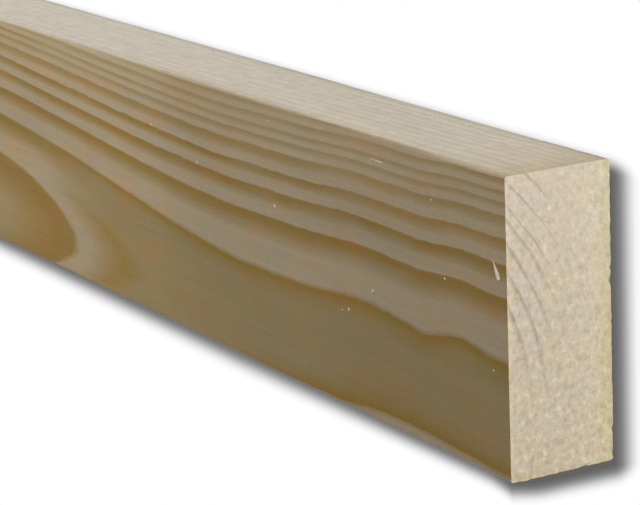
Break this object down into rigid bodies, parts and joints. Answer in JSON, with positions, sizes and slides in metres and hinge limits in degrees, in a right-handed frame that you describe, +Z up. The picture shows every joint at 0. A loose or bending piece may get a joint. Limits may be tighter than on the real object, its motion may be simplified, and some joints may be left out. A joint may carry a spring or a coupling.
{
  "type": "timber plank",
  "caption": "Planed softwood plank of rectangular section with slightly eased long edges and square-sawn ends, stored lying on a wide face.",
  "frame": {"origin": "middle of the underside, which is one of the two wide faces", "axes": "+X along the length and the grain, +Y across the width, +Z up through the thickness"},
  "size_m": [1.8, 0.07, 0.028],
  "materials": {
    "wood": "planed bare softwood with a faint sheen, and fine-sawn ends"
  },
  "bodies": {
    "root": {"plank": "wood"}
  },
  "joints": []
}
